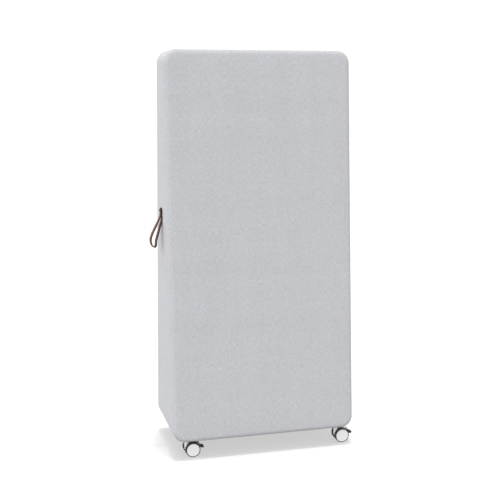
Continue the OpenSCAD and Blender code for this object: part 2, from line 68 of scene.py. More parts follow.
lean = math.atan((foot_half - head_half) / (top_z - rise))
slope_h = (top_z - rise) / math.cos(lean)  # height of a face along its slope
along = np.array([0, math.sin(lean), math.cos(lean)])   # up along the front's slope
outward = np.array([0, -math.cos(lean), math.sin(lean)])  # square out of the front


def half_depth(z):
    """Half the body's depth at a height."""
    return foot_half - (foot_half - head_half) * (z - rise) / (top_z - rise)


def smooth(share):
    """Eases a share between 0 and 1 in and out."""
    share = min(max(share, 0), 1)
    return share * share * (3 - 2 * share)


# ---------- node helpers ----------


class Shader:
    """Builds one procedural material round a Principled shader."""

    def __init__(self, name, **sockets):
        self.material = bpy.data.materials.new(name)
        self.material.use_nodes = True
        self.tree = self.material.node_tree
        self.principled = self.tree.nodes["Principled BSDF"]
        for key, value in sockets.items():
            self.principled.inputs[key.replace("_", " ")].default_value = value

    def add(self, kind, links=(), **settings):
        """Adds a node. links are (input, output socket or constant value)."""
        node = self.tree.nodes.new(kind)
        for key, value in settings.items():
            setattr(node, key, value)
        for key, value in links:
            self.feed(node.inputs[key], value)
        return node

    def feed(self, socket, value):
        if isinstance(value, bpy.types.NodeSocket):
            self.tree.links.new(value, socket)
        else:
            socket.default_value = value

    def math(self, operation, a, b=0.0, c=0.0):
        node = self.add("ShaderNodeMath", operation=operation)
        for socket, value in zip(node.inputs, (a, b, c)):
            self.feed(socket, value)
        return node.outputs[0]

    def object_coords(self, scale=(1, 1, 1)):
        coords = self.add("ShaderNodeTexCoord").outputs["Object"]
        return self.mapped(coords, scale)

    def mapped(self, vector, scale):
        mapping = self.add("ShaderNodeMapping", [("Vector", vector), ("Scale", scale)])
        return mapping.outputs[0]

    def noise(self, vector, scale, detail=2.0, roughness=0.5):
        node = self.add(
            "ShaderNodeTexNoise",
            [("Vector", vector), ("Scale", scale), ("Detail", detail), ("Roughness", roughness)],
        )
        return node.outputs["Fac"]

    def ramp(self, value, low, high, to_low=0.0, to_high=1.0):
        node = self.add(
            "ShaderNodeMapRange",
            [("Value", value), ("From Min", low), ("From Max", high),
             ("To Min", to_low), ("To Max", to_high)],
        )
        return node.outputs[0]

    def mix(self, share, first, second, blend="MIX"):
        node = self.add("ShaderNodeMix", data_type="RGBA", blend_type=blend)
        self.feed(node.inputs["Factor"], share)
        self.feed(node.inputs["A"], first)
        self.feed(node.inputs["B"], second)
        return node.outputs["Result"]

    def bump(self, height, distance, strength=1.0, under=None):
        links = [("Height", height), ("Distance", distance), ("Strength", strength)]
        if under is not None:
            links.append(("Normal", under))
        return self.add("ShaderNodeBump", links).outputs[0]

    def set(self, **sockets):
        for key, value in sockets.items():
            self.feed(self.principled.inputs[key.replace("_", " ")], value)
        return self.material


def grey(level, tint=(1, 1, 1)):
    return tuple(level * t for t in tint) + (1.0,)


# ---------- materials ----------


# The fabric's pattern: the pitch of its yarns, and how many features it has per metre
yarn_pitch = 0.0013
yarn_shade_scale = 60
fibre_scale = 2600
DARK_YARN = grey(0.423, (0.985, 0.99, 1.04))
LIGHT_YARN = grey(0.608, (0.98, 0.99, 1.04))

# Unevenness that runs along warp and weft: how many streaks per metre across them and
# along them, the range of the noise, and how much they lighten and darken the fabric
FABRIC_STREAKS = (
    (260, 60, 0.3, 0.7, 0.11),      # flecks from thicker spots in the yarns
    (70, 16, 0.25, 0.75, 0.045),    # clouds
    (11, 1, 0.3, 0.7, 0.035),       # wide, long bands
)


def woven_fabric():
    """Light grey melange wool: a plain weave whose yarns differ a little in shade."""
    s = Shader("melange_weave", Roughness=0.92, Sheen_Weight=0.12, Sheen_Roughness=0.6,
               Specular_IOR_Level=0.25)
    weave = s.add("ShaderNodeAttribute", attribute_name="weave").outputs["Vector"]
    yarns = 1 / yarn_pitch
    cells = s.add("ShaderNodeSeparateXYZ", [("Vector", s.mapped(weave, (yarns,) * 3))])
    across, up = cells.outputs["X"], cells.outputs["Y"]
    wave_across = s.math("SINE", s.math("MULTIPLY", across, math.pi))
    wave_up = s.math("SINE", s.math("MULTIPLY", up, math.pi))
    crossing = s.math("MULTIPLY", wave_across, wave_up)
    warp_on_top = s.ramp(crossing, -0.1, 0.1)
    knots = s.math("POWER", s.math("ABSOLUTE", crossing), 0.5)

    # Each yarn keeps its shade for a while along its length
    run = yarn_shade_scale
    warp_shade = s.noise(s.mapped(weave, (yarns, run, 1)), 1.0, 2.0)
    weft_shade = s.noise(s.mapped(weave, (run, yarns, 1)), 1.0, 2.0)
    yarn = s.add("ShaderNodeMix", data_type="FLOAT")
    s.feed(yarn.inputs[0], warp_on_top)
    s.feed(yarn.inputs[2], weft_shade)
    s.feed(yarn.inputs[3], warp_shade)
    color = s.mix(s.ramp(yarn.outputs[0], 0.3, 0.7), DARK_YARN, LIGHT_YARN)

    for across_scale, along_scale, low, high, change in FABRIC_STREAKS:
        upright = s.noise(s.mapped(weave, (across_scale, along_scale, 1)), 1.0, 3.0, 0.6)
        level = s.noise(s.mapped(weave, (along_scale, across_scale, 1)), 1.0, 3.0, 0.6)
        both = s.math("MULTIPLY", s.math("ADD", upright, level), 0.5)
        tone = s.mix(s.ramp(both, low, high), grey(1 - change), grey(1 + change))
        color = s.mix(1.0, color, tone, "MULTIPLY")
    # Painted shade: the colour darkens to 0.72 in the dips between the yarns' crossings
    painted_valley_shade = s.ramp(knots, 0.0, 0.6, 0.72, 1.0)
    shaded = s.add("ShaderNodeCombineColor",
                   [("Red", painted_valley_shade), ("Green", painted_valley_shade), ("Blue", painted_valley_shade)])
    color = s.mix(1.0, color, shaded.outputs[0], "MULTIPLY")

    fibres = s.noise(weave, fibre_scale, 2.0)
    relief = s.bump(knots, 0.00025, 0.5)
    relief = s.bump(fibres, 0.00012, 0.4, relief)
    return s.set(Base_Color=color, Normal=relief,
                 Roughness=s.ramp(fibres, 0.3, 0.7, 0.86, 0.97))


def foam():
    s = Shader("foam", Roughness=0.9)
    coords = s.object_coords()
    cells = s.add("ShaderNodeTexVoronoi", [("Vector", coords), ("Scale", 900.0)])
    color = s.mix(s.noise(coords, 40), (0.80, 0.74, 0.56, 1), (0.88, 0.83, 0.68, 1))
    return s.set(Base_Color=color, Normal=s.bump(cells.outputs["Distance"], 0.0006))


ALONG_X, ALONG_Z = 0, 2


def timber(name, dark, light, grain_axis):
    """Wood whose grain runs along one axis, with fine pores."""
    s = Shader(name, Roughness=0.6)
    stretch = [60.0] * 3
    stretch[grain_axis] = 4.0
    pores_per_grain = 12
    grain = s.noise(s.object_coords(tuple(stretch)), 1.0, 5.0, 0.65)
    pore_stretch = tuple(v * pores_per_grain for v in stretch)
    pores = s.noise(s.object_coords(pore_stretch), 1.0, 2.0)
    color = s.mix(s.ramp(grain, 0.3, 0.7), dark, light)
    color = s.mix(s.ramp(pores, 0.35, 0.5, 0.25, 0.0), color, grey(0.12, (1, 0.6, 0.35)))
    return s.set(Base_Color=color, Normal=s.bump(grain, 0.0004, 0.4),
                 Roughness=s.ramp(grain, 0.3, 0.7, 0.5, 0.7))


def felt():
    """Sound-absorbing felt: matted fibres in two greys."""
    s = Shader("absorbing_felt", Roughness=0.95)
    coords = s.object_coords()
    fibres = s.noise(s.object_coords((700, 180, 700)), 1.0, 4.0, 0.7)
    color = s.mix(s.ramp(fibres, 0.3, 0.7), grey(0.2), grey(0.34, (0.97, 1, 1.05)))
    return s.set(Base_Color=color, Normal=s.bump(s.noise(coords, 500, 4.0), 0.0008))


def metal(name, level, tint, low, high):
    """Plated metal with fine wear."""
    s = Shader(name, Metallic=1.0)
    coords = s.object_coords()
    wear = s.noise(coords, 900, 4.0, 0.6)
    color = s.mix(s.ramp(wear, 0.3, 0.7), grey(level * 0.9, tint), grey(level, tint))
    return s.set(Base_Color=color, Roughness=s.ramp(wear, 0.3, 0.7, low, high),
                 Normal=s.bump(wear, 0.00002, 0.4))


def leather():
    """Cognac leather with pebbled grain, burnished nearly black-brown along its edges."""
    s = Shader("bridle_leather", Roughness=0.5, Specular_IOR_Level=0.28)
    strap = s.add("ShaderNodeAttribute", attribute_name="strap").outputs["Vector"]
    grain = s.add("ShaderNodeTexVoronoi", [("Vector", strap), ("Scale", 1100.0)],
                  feature="DISTANCE_TO_EDGE")
    pebbles = s.ramp(grain.outputs["Distance"], 0.0, 0.25)
    patches = s.noise(strap, 90, 4.0, 0.6)
    dark, light = (0.095, 0.027, 0.010, 1), (0.14, 0.043, 0.015, 1)
    painted_groove_shade, burnished = (0.06, 0.017, 0.007, 1), (0.05, 0.0145, 0.0055, 1)
    face = s.mix(s.ramp(patches, 0.3, 0.7), dark, light)
    # Painted shade: the colour darkens in the grooves round each pebble
    face = s.mix(s.ramp(pebbles, 0.0, 1.0, 0.35, 0.0), face, painted_groove_shade)
    burnish = s.add("ShaderNodeAttribute", attribute_name="burnish").outputs["Fac"]
    color = s.mix(burnish, face, burnished)
    relief = s.bump(pebbles, 0.00012, 0.6)
    relief = s.bump(s.noise(strap, 3000, 3.0), 0.00005, 0.4, relief)
    return s.set(Base_Color=color, Normal=relief,
                 Roughness=s.ramp(patches, 0.3, 0.7, 0.42, 0.58))


def plastic(name, level, tint, low, high, grain=0.00002):
    """Moulded plastic with a fine spark-eroded grain and faint scuffs."""
    s = Shader(name, Specular_IOR_Level=0.5)
    coords = s.object_coords()
    texture = s.noise(coords, 4200, 2.0)
    scuffs = s.noise(s.object_coords((160, 160, 600)), 1.0, 5.0, 0.7)
    color = s.mix(s.ramp(scuffs, 0.35, 0.7), grey(level * 0.93, tint), grey(level, tint))
    return s.set(Base_Color=color, Normal=s.bump(texture, grain, 0.5),
                 Roughness=s.ramp(scuffs, 0.3, 0.7, low, high))


def rubber():
    s = Shader("tread_rubber", Specular_IOR_Level=0.4)
    coords = s.object_coords()
    dust = s.noise(coords, 260, 5.0, 0.7)
    color = s.mix(s.ramp(dust, 0.35, 0.75), grey(0.03), grey(0.05, (1, 0.98, 0.95)))
    return s.set(Base_Color=color, Roughness=s.ramp(dust, 0.3, 0.7, 0.6, 0.85),
                 Normal=s.bump(s.noise(coords, 2500), 0.00004))


FABRIC = woven_fabric()
FOAM = foam()
LEATHER = leather()
LOOKS = {
    "cover_fabric": FABRIC,
    "foam": FOAM,
    "board": timber("face_board", (0.36, 0.22, 0.12, 1), (0.5, 0.34, 0.2, 1), ALONG_Z),
    "plywood": timber("birch_plywood", (0.52, 0.36, 0.2, 1), (0.7, 0.53, 0.33, 1), ALONG_X),
    "absorber": felt(),
    "steel": metal("zinc_steel", 0.62, (0.97, 0.99, 1.03), 0.3, 0.42),
    "dark_metal": metal("bronzed_steel", 0.09, (1.1, 0.85, 0.7), 0.32, 0.45),
    "strap_leather": LEATHER,
    "sleeve": plastic("white_gloss", 0.82, (1, 1, 1), 0.18, 0.3),
    "housing": plastic("black_satin", 0.012, (1, 1, 1.03), 0.2, 0.3),
    "pedal": plastic("black_pedal", 0.013, (1, 1, 1.03), 0.4, 0.52),
    "wheel_disc": plastic("white_satin", 0.765, (1, 1, 1.005), 0.4, 0.5),
    "tyre": rubber(),
}


# ---------- mesh helpers ----------


class Mesh:
    """Collects points with a weave coordinate, and faces with a material index."""

    def __init__(self):
        self.points, self.weave, self.faces, self.looks = [], [], [], []

    def add(self, point, weave=(0, 0)):
        self.points.append(tuple(point))
        self.weave.append((weave[0], weave[1], 0.0))
        return len(self.points) - 1

    def face(self, corners, look=0):
        kept = [c for i, c in enumerate(corners) if c != corners[i - 1]]
        if len(kept) > 2:
            self.faces.append(kept)
            self.looks.append(look)

    def strip(self, first, second, look=0, closed=True):
        """Faces between two rows of equal length."""
        n = len(first)
        for i in range(n if closed else n - 1):
            j = (i + 1) % n
            self.face([first[i], second[i], second[j], first[j]], look)

    def piece(self, name, materials, attribute="weave", mirror_y=False, sharp=50):
        points = np.array(self.points)
        faces = self.faces
        if mirror_y:
            points = points * (1, -1, 1)
            faces = [f[::-1] for f in faces]
        mesh = bpy.data.meshes.new(name)
        mesh.from_pydata(points.tolist(), [], faces)
        for material in materials:
            mesh.materials.append(material)
        mesh.polygons.foreach_set("material_index", self.looks)
        mesh.polygons.foreach_set("use_smooth", [True] * len(faces))
        layer = mesh.attributes.new(attribute, "FLOAT_VECTOR", "POINT")
        layer.data.foreach_set("vector", np.array(self.weave, np.float32).ravel())
        mesh.set_sharp_from_angle(angle=math.radians(sharp))
        mesh.validate()
        mesh.update()
        made = bpy.data.objects.new(name, mesh)
        bpy.context.scene.collection.objects.link(made)
        return made


# ---------- upholstery ----------

cell = 0.010            # size of the faces' grid
arc_steps = 10          # steps round each corner
ring_steps = 3          # rows on the flat rim between grid and edge
edge_steps = 8          # rows round the soft edge
roll_steps = 4          # rows round a turned edge
border_steps = 22       # rows across the border between its seams
side_steps = 3          # rows from the soft edge back to the seam
ring_r = corner_r - edge_r
arc_len = edge_r * math.pi / 2                  # length of the weave round the soft edge
flat_a = half_w - corner_r                      # the grid's half width
flat_low, flat_high = corner_r, slope_h - corner_r  # the grid along the slope
cells_a = round(2 * flat_a / cell)
cells_t = round((flat_high - flat_low) / cell)


def grid_place(i, j):
    """A grid point's place on the face: across from the middle, and up the slope."""
    return (-flat_a + 2 * flat_a * i / cells_a,
            flat_low + (flat_high - flat_low) * j / cells_t)


class Station:
    """One place on the outline: a corner or edge point of the grid at a, t, and the
    direction e out of it in the face's plane, which is an angle from +X. run is the
    length along the outline."""

    def __init__(self, a, t, angle, run, grid):
        self.a, self.t, self.angle, self.run, self.grid = a, t, angle, run, grid
        self.e = math.cos(angle) * np.array([1.0, 0, 0]) + math.sin(angle) * along
        # where the soft edge ends and the side runs straight back
        self.tangent_phi = math.atan(math.tan(lean) * math.sin(angle))


def make_stations():
    """Round the outline, anticlockwise seen from the front, from the lower left."""
    def edge(n, place, angle):
        return [(*place(i), angle) for i in range(n + 1)]

    def spot(i, j):
        return (*grid_place(i, j), (i, j))

    sides = [
        edge(cells_a, lambda i: spot(i, 0), -90),
        edge(cells_t, lambda j: spot(cells_a, j), 0),
        edge(cells_a, lambda i: spot(cells_a - i, cells_t), 90),
        edge(cells_t, lambda j: spot(0, cells_t - j), 180),
    ]
    stations, run, last = [], 0.0, None
    for side in sides:
        arc = [(*side[-1][:3], side[-1][3] + 90 * k / arc_steps) for k in range(1, arc_steps)]
        for a, t, grid, angle in side + arc:
            turn = math.radians(angle)
            outer = (a + corner_r * math.cos(turn), t + corner_r * math.sin(turn))
            if last is not None:
                run += math.dist(outer, last)
            last = outer
            stations.append(Station(a, t, turn, run, grid))
    return stations


STATIONS = make_stations()

# The soft edge is rounded about a line in this plane, which lies edge_r behind the face
tube_origin = np.array([0, -(half_depth(rise) - edge_r / math.cos(lean)), rise])


def on_tube_plane(a, t):
    return tube_origin + np.array([a, 0, 0]) + t * along


def on_face(a, t):
    return on_tube_plane(a, t) + outward * (edge_r + puff(a, t))


crown = 0.0003          # swell of the faces before the cloth simulation
crown_reach = 0.055     # how far in from the edges that swell builds up
ripple_h = 0.00022      # unevenness of the foam
gather_h = 0.00016      # height of the gathers beside a seam
gather_reach = 0.010    # how far from the seam they fade


def puff(a, t):
    """How far the padding swells at a place on a face, in metres."""
    margin = min(half_w - abs(a), t, slope_h - t) - edge_r
    q = max(margin, 0) / crown_reach
    swell = crown * (1 - (1 + q) * math.exp(-q))
    ripple = (math.sin(9.1 * a + 2.0 * math.sin(3.3 * t)) * math.sin(5.7 * t + 1.3)
              + 0.6 * math.sin(21 * a - 8.3 * t + 0.7) * math.sin(13.0 * t + 4.1 * a))
    return swell + ripple_h * ripple * (1 - math.exp(-q * 1.5))


def pucker(run, distance):
    """Small gathers beside a seam, in metres, by the distance from it."""
    waves = (math.sin(run / 0.0061) + math.sin(run / 0.0102 + 1.9)
             + 0.8 * math.sin(run / 0.0173 + 0.4))
    return gather_h * waves * math.exp(-distance / gather_reach)


def inner_inset(station, share):
    """Thickness of the layer at a station: thinner round the foot, where the frame
    rests on the cover. share is 0 at the side and 1 at the face."""
    down = min(max(-math.sin(station.angle), 0), 1)
    least_cos = 0.05
    to_panel = (panel_half_w - flat_a) / max(math.cos(math.asin(down)), least_cos)
    side_inset = max(cover_t, min(layer_t, corner_r - to_panel))
    return side_inset + (layer_t - side_inset) * share


def edge_point(station, phi, inset):
    """A point on the soft edge, or inset below it. phi runs round the edge from pi / 2,
    at the face, to the station's tangent_phi, at the side."""
    centre = on_tube_plane(station.a, station.t) + ring_r * station.e
    radius = edge_r - inset
    return centre + radius * (station.e * math.cos(phi) + outward * math.sin(phi))


def side_normal(station):
    """The direction square out of the border."""
    e, phi = station.e, station.tangent_phi
    return e * math.cos(phi) + outward * math.sin(phi)


def seam_y(z):
    """Where the front seam lies at a height."""
    return -half_depth(z) + seam_in / math.cos(lean)


# How firmly the foam and the body's edges hold the fabric in the cloth simulation, from
# 0, free, to 1, fixed
foam_hold = 0.1
edge_hold = 0.6
face_pressure = 0.12
border_pressure = 0.06
press_frames = 20       # length of the simulation
press_limit = 0.0025    # the furthest that a point may move


def press_out(m, held, pressure):
    """Moves a mesh's fabric by a short cloth simulation, in which the foam presses it
    outward. held says how firmly each of the first points keeps its place; the others,
    at the seams and inside, don't move."""
    fabric = [face for face, look in zip(m.faces, m.looks) if look == 0]
    mesh = bpy.data.meshes.new("pressed_cloth")
    mesh.from_pydata(m.points, [], fabric)
    sheet = bpy.data.objects.new("pressed_cloth", mesh)
    bpy.context.scene.collection.objects.link(sheet)
    pinned = sheet.vertex_groups.new(name="pinned")
    for index, weight in enumerate(held + [1.0] * (len(m.points) - len(held))):
        pinned.add([index], weight, "REPLACE")

    cloth = sheet.modifiers.new("cloth", "CLOTH")
    cloth.point_cache.frame_start = 1
    cloth.point_cache.frame_end = press_frames
    cloth.collision_settings.use_collision = False
    wool = cloth.settings
    wool.quality = 4
    wool.mass = 0.3
    wool.tension_stiffness = 25
    wool.compression_stiffness = 12
    wool.shear_stiffness = 8
    wool.bending_stiffness = 0.8
    wool.use_pressure = True
    wool.uniform_pressure_force = pressure
    wool.vertex_group_mass = "pinned"
    wool.pin_stiffness = 1
    wool.effector_weights.gravity = 0
    for step in range(1, press_frames + 1):
        bpy.context.scene.frame_set(step)
    moved = sheet.evaluated_get(bpy.context.evaluated_depsgraph_get())
    after = np.empty(len(m.points) * 3)
    moved.data.vertices.foreach_get("co", after)
    bpy.context.scene.frame_set(1)
    bpy.data.objects.remove(sheet)
    bpy.data.meshes.remove(mesh)

    before = np.array(m.points)
    move = after.reshape(-1, 3) - before
    length = np.linalg.norm(move, axis=1, keepdims=True)
    tiny = 1e-9
    move *= np.minimum(1, press_limit / np.maximum(length, tiny))
    m.points = [tuple(point) for point in (before + move).tolist()]


def face_grid(m):
    """The flat middle of a face cover. Returns its outline, station by station."""
    grid = {}
    for i in range(cells_a + 1):
        for j in range(cells_t + 1):
            place = grid_place(i, j)
            grid[i, j] = m.add(on_face(*place), place)
    for i in range(cells_a):
        for j in range(cells_t):
            m.face([grid[i, j], grid[i + 1, j], grid[i + 1, j + 1], grid[i, j + 1]])
    return [grid[s.grid] for s in STATIONS]


def face_upholstery():
    """A face cover with its foam: the flat face, the soft edge round it, and a strip
    that runs back to the seam, where its edge is turned in."""
    m = Mesh()
    rows = [face_grid(m)]
    for k in range(1, ring_steps + 1):
        reach = ring_r * k / ring_steps
        row = []
        for s in STATIONS:
            a = s.a + reach * math.cos(s.angle)
            t = s.t + reach * math.sin(s.angle)
            row.append(m.add(on_face(a, t), (a, t)))
        rows.append(row)
    held = [foam_hold] * len(m.points)
    for k in range(1, edge_steps + 1):
        row = []
        for s in STATIONS:
            phi = math.pi / 2 + (s.tangent_phi - math.pi / 2) * k / edge_steps
            beyond = ring_r + edge_r * (math.pi / 2 - phi)
            row.append(m.add(edge_point(s, phi, 0), weave_at(s, beyond)))
        rows.append(row)
        # the hold reaches its full value half way round the soft edge
        tightening = min(2 * k / edge_steps, 1)
        held += [foam_hold + (edge_hold - foam_hold) * tightening] * len(row)

    for k in range(1, side_steps + 1):
        row = []
        for s in STATIONS:
            start = edge_point(s, s.tangent_phi, 0)
            end_y = seam_y(start[2]) - roll_r
            y = start[1] + (end_y - start[1]) * k / side_steps
            lift = pucker(s.run, end_y - y) * k / side_steps
            point = np.array([start[0], y, start[2]]) + side_normal(s) * lift
            row.append(m.add(point, weave_at(s, ring_r + arc_len + y - start[1])))
        rows.append(row)
        held += [edge_hold + (1 - edge_hold) * k / side_steps] * len(row)
    rows += turned_edge(m, 1)
    for first, second in zip(rows, rows[1:]):
        m.strip(first, second)
    close_with_foam(m, rows[-1])
    press_out(m, held, face_pressure)
    return m


def close_with_foam(m, turned_in):
    """The foam's surface inside a face cover, from the turned edge to the middle."""
    inner = []
    for k in range(edge_steps, -1, -1):
        share = 1 - k / edge_steps
        row = []
        for s in STATIONS:
            phi = math.pi / 2 + (s.tangent_phi - math.pi / 2) * k / edge_steps
            row.append(m.add(edge_point(s, phi, inner_inset(s, share))))
        inner.append(row)
    rim = []
    for s in STATIONS:
        point = edge_point(s, s.tangent_phi, inner_inset(s, 0))
        rim.append(m.add((point[0], seam_y(point[2]), point[2])))
    m.strip(turned_in, rim, 1)
    m.strip(rim, inner[0], 1)
    for first, second in zip(inner, inner[1:]):
        m.strip(first, second, 1)
    m.face(inner[-1], 1)


def weave_at(station, beyond):
    """The weave runs on from the face over its edge."""
    return (station.a + beyond * math.cos(station.angle),
            station.t + beyond * math.sin(station.angle))


def turned_edge(m, facing):
    """Rows that turn in at a seam: facing 1 ends the front cover, and -1 starts the
    border behind it."""
    rows = []
    steps = list(range(1, roll_steps + 1)) + [None]
    for k in steps:
        row = []
        for s in STATIONS:
            start = edge_point(s, s.tangent_phi, 0)
            seam = seam_y(start[2]) + (0 if facing > 0 else seam_gap)
            turn = math.pi / 2 * (k or roll_steps) / roll_steps
            back = roll_r * (1 - math.sin(turn))
            deep = roll_depth if k is None else roll_r * (1 - math.cos(turn))
            lift = pucker(s.run, 0) * (1 - deep / roll_depth)
            point = np.array([start[0], seam - facing * back, start[2]])
            point = point - side_normal(s) * (deep - lift)
            run = ring_r + arc_len + point[1] - start[1] + facing * deep
            row.append(m.add(point, weave_at(s, run) if facing > 0 else (s.run, point[1])))
        rows.append(row)
    return rows


border_crown = 0.0004   # swell of the border before the cloth simulation
border_tight = 1 / 8    # share of the border's depth that each seam holds tight
other_seam = 0.4        # shift of the back seam's gathers against the front seam's


def border_upholstery(name):
    """The border cover with its foam, round the sides, the top and the underside,
    between the two seams."""
    m = Mesh()
    front = turned_edge(m, -1)[::-1]
    held = [1.0] * len(m.points)
    middle = []
    for k in range(border_steps + 1):
        from_seam = min(k, border_steps - k) / border_steps
        row = []
        for s in STATIONS:
            start = edge_point(s, s.tangent_phi, 0)
            low = seam_y(start[2]) + seam_gap + roll_r
            high = -low
            y = low + (high - low) * k / border_steps
            gather = pucker(s.run, y - low) + pucker(s.run + other_seam, high - y)
            swell = border_crown * math.sin(math.pi * k / border_steps) * soft_span(s)
            point = np.array([start[0], y, start[2]]) + side_normal(s) * (gather + swell)
            row.append(m.add(point, (s.run, y)))
            free = soft_span(s) * smooth(from_seam / border_tight)
            held.append(1 + (foam_hold - 1) * free)
        middle.append(row)
    back = []
    for row in turned_edge(m, -1):
        for i, index in enumerate(row):
            x, y, z = m.points[index]
            m.points[index] = (x, -y, z)
            m.weave[index] = (STATIONS[i].run, -y, 0.0)
        back.append(row)
    rows = front + middle + back
    for first, second in zip(rows, rows[1:]):
        m.strip(first, second)
    rims = []
    for side in (1, -1):
        rim = []
        for s in STATIONS:
            point = edge_point(s, s.tangent_phi, inner_inset(s, 0))
            y = side * -(seam_y(point[2]) + seam_gap)
            rim.append(m.add((point[0], y, point[2])))
        rims.append(rim)
    m.strip(rows[-1], rims[0], 1)
    m.strip(rims[0], rims[1], 1)
    m.strip(rims[1], rows[0], 1)
    press_out(m, held, border_pressure)
    return m.piece(name, [FABRIC, FOAM])


def soft_span(station):
    """The underside lies flat against the base board; the rest may swell."""
    return 1 - max(-math.sin(station.angle), 0)


face = face_upholstery()
front = face.piece("front_upholstery", [FABRIC, FOAM])
back = face.piece("back_upholstery", [FABRIC, FOAM], mirror_y=True)
border = border_upholstery("border_upholstery")
for piece, covered in (
    (front, ("front_cover", "front_pad")),
    (back, ("back_cover", "back_pad")),
    (border, ("border_cover", "border_pad")),
):
    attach(piece, "body")
    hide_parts(*covered)


# ---------- pull loop ----------

strap_low, strap_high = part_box("handle_strap")
strap_w = strap_high.y - strap_low.y
strap_t = 0.0045                         # thickness under the screw
relaxed_t = 0.0005                       # added thickness of the hanging part
screw_z = strap_high.z - strap_w / 2     # the loop hangs from a screw at this height
loop_drop = 0.164                        # drop of the loop below its screw
loop_reach = 0.054                       # reach of the loop out from the side
side_x = -half_w
side_gap = 0.00025                       # between the body's side and the strap
strand_gap = 0.0001                      # between the two strands under the screw
inner_layer = side_gap + strap_t / 2     # middle of the strand that lies on the side
outer_layer = inner_layer + strap_t + strand_gap
crease_in = 0.0022                       # creased line along each edge
crease_w = 0.0007                        # half the width of that line
crease_dip = 0.00022                     # its depth
edge_soft = 0.0009                       # rounding of the strap's edges
twist = math.radians(6)                  # how far the hanging part turns to the front
hang_from, hang_span = 0.15, 0.35        # where it comes free, in parts of the drop

# Control points of the strap's middle line as (reach, drop): from the outer strand's
# flat part, round the bottom, to the inner strand's flat part. The shares are of
# loop_reach and loop_drop
loop_shares = [
    (0.33, 0.28), (0.49, 0.39), (0.65, 0.5), (1, 0.7), (1, 0.81), (1, 0.92),
    (0.86, 1), (0.7, 1), (0.6, 1), (0.56, 0.96), (0.56, 0.9), (0.56, 0.83),
    (0.49, 0.76), (0.42, 0.68), (0.29, 0.53), (0.19, 0.42), (0.115, 0.34), (0.06, 0.28),
]
loop_points = [
    (outer_layer, -strap_w / 2), (outer_layer, -0.16 * loop_drop),
    *[(reach * loop_reach, -drop * loop_drop) for reach, drop in loop_shares],
    (inner_layer, -0.22 * loop_drop), (inner_layer, -strap_w / 2),
]
loop_curves = [loop_points[i:i + 4] for i in range(0, len(loop_points) - 1, 3)]


def bezier(p, t):
    """A point on the cubic curve through four control points."""
    p = np.array(p)
    return ((1 - t) ** 3 * p[0] + 3 * t * (1 - t) ** 2 * p[1]
            + 3 * t * t * (1 - t) * p[2] + t ** 3 * p[3])


def loop_line():
    """The middle line, from the rounded end of the outer strand to the inner one's."""
    end_steps, bend_steps = 8, 14
    almost_full = 0.998     # the end row keeps a little width
    heights = []
    for k in range(end_steps + 1):
        heights.append(strap_w / 2 * math.sin(math.pi / 2 * k / end_steps))
    heights[-1] *= almost_full
    points = [(outer_layer, h) for h in reversed(heights)]
    points.append((outer_layer, -strap_w / 4))
    for curve in loop_curves:
        points += [tuple(bezier(curve, k / bend_steps)) for k in range(bend_steps)]
    points += [(inner_layer, -strap_w / 2), (inner_layer, -strap_w / 4)]
    points += [(inner_layer, h) for h in heights]
    return np.array(points)


def strap_section(half, thick):
    """Points round the strap's section as (across, out, burnish), with softened edges
    and a creased line beside each. half and thick are half its width and thickness."""
    soft = min(edge_soft, half * 0.5)
    crease = half - min(crease_in, half * 0.6)
    quarter = [
        (0.0, thick, 0.0), (crease - crease_w, thick, 0.0),
        (crease, thick - crease_dip, 0.55), (crease + crease_w, thick, 0.15),
        (half - soft, thick, 0.35), (half - soft * 0.3, thick - soft * 0.3, 0.9),
        (half, thick - soft, 1.0), (half, 0.0, 1.0),
    ]
    right = quarter + [(a, -o, b) for a, o, b in reversed(quarter[:-1])]
    left = [(-a, o, b) for a, o, b in reversed(right[1:-1])]
    return right + left


def pull_strap():
    """The strap: one closed section after another along the middle line."""
    m = Mesh()
    line = loop_line()
    burnish = []
    rows = []
    run = 0.0
    least_sq = 1e-7
    for i, point in enumerate(line):
        ahead = line[min(i + 1, len(line) - 1)] - line[max(i - 1, 0)]
        normal = np.array([-ahead[1], ahead[0]]) / np.linalg.norm(ahead)
        if i:
            run += np.linalg.norm(point - line[i - 1])
        above = max(point[1], 0)
        half = math.sqrt(max((strap_w / 2) ** 2 - above ** 2, least_sq))
        row = []
        hanging = smooth((-point[1] / loop_drop - hang_from) / hang_span)
        turned = twist * hanging
        for a, out, dark in strap_section(half, (strap_t + relaxed_t * hanging) / 2):
            reach, drop = point + normal * out
            x = side_x - reach - a * math.sin(turned)
            place = (x, a * math.cos(turned), screw_z + drop)
            side_shift = 0.1 if out > 0 else 0   # other grain on the outer side
            row.append(m.add(place, (run, a + side_shift)))
            burnish.append(dark)
        rows.append(row)
    for first, second in zip(rows, rows[1:]):
        m.strip(first, second)
    m.face(rows[0])
    m.face(rows[-1][::-1])
    strap = m.piece("pull_strap", [LEATHER], "strap", sharp=60)
    layer = strap.data.attributes.new("burnish", "FLOAT", "POINT")
    layer.data.foreach_set("value", burnish)
    return strap


strap = pull_strap()
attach(strap, "handle")
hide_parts("handle_strap")


# ---------- the CAD pieces' materials ----------

slot_of = {part["node"]: part["material_slot"] for part in frame["record"]["subparts"]}

# Radius of the softened edges of each kind of moulding
softened = {"housing": 0.0005, "pedal": 0.0006, "wheel_disc": 0.0004, "sleeve": 0.0004}


def dress(name, node):
    """Gives a CAD piece its look, and softens the edges of moulded ones."""
    look = slot_of[name]
    node.data.materials.clear()
    node.data.materials.append(LOOKS[look])
    if look in softened:
        weld = node.modifiers.new("weld", "WELD")
        weld.merge_threshold = 0.000005
        bevel = node.modifiers.new("soft_edges", "BEVEL")
        bevel.width = softened[look]
        bevel.segments = 2
        bevel.limit_method = "ANGLE"
        bevel.angle_limit = math.radians(35)


for name, node in frame["nodes"].items():
    dress(name, node)


# ---------- floor, light and camera ----------

stage_radius = 30.0
floor_glow = 0.535      # with the lights, the floor just reaches white round the shadow
backdrop_glow = 1.05    # just above white


